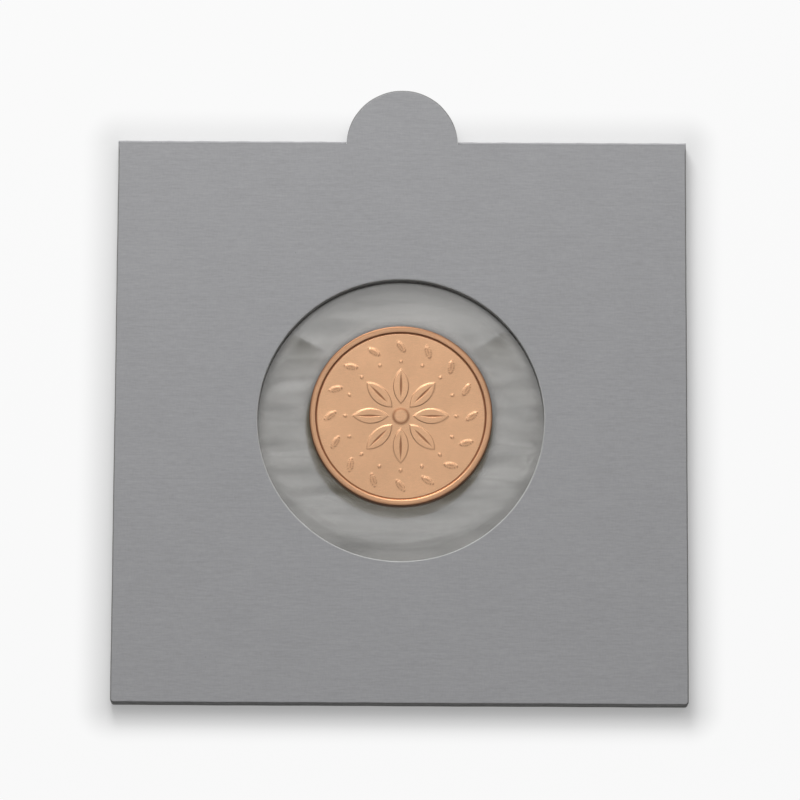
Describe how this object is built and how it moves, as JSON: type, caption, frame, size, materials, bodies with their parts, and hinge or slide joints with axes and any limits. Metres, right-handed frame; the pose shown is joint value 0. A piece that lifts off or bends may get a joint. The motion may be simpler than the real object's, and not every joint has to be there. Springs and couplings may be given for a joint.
{
  "type": "coin holder flip",
  "caption": "Square folded card flip with a round clear window on both sides and a half-round thumb tab on the fold, closed by adhesive round a small coin.",
  "frame": {"origin": "middle of the square body on the plane that the back panel rests on", "axes": "+Z is the viewing side, square to the panels; +Y runs from the free edge to the fold and its tab; +X is to the right as the front is read"},
  "size_m": [0.05, 0.0546, 0.0016],
  "materials": {
    "card": "matt grey board with a fine fibre grain",
    "film": "clear film, slightly hazy, softly wrinkled",
    "adhesive": "clear tacky coat",
    "coin_metal": "bright struck copper colour"
  },
  "bodies": {
    "back_half": {"back_card": "card", "back_film": "film", "back_adhesive": "adhesive", "fold_crease": "card"},
    "front_half": {"front_card": "card", "front_film": "film", "front_adhesive": "adhesive"},
    "coin": {"coin": "coin_metal"}
  },
  "joints": [
    {"name": "fold_open", "type": "hinge", "parent": "back_half", "child": "front_half", "pos_m": [0, 0.02475, 0.0008], "axis": [-1, 0, 0], "range_deg": [0, 180], "deforming": ["fold_crease"]},
    {"name": "coin_turn", "type": "hinge", "parent": "back_half", "child": "coin", "pos_m": [0, 0.0004, 0.0008], "axis": [0, 0, 1], "continuous": true}
  ]
}
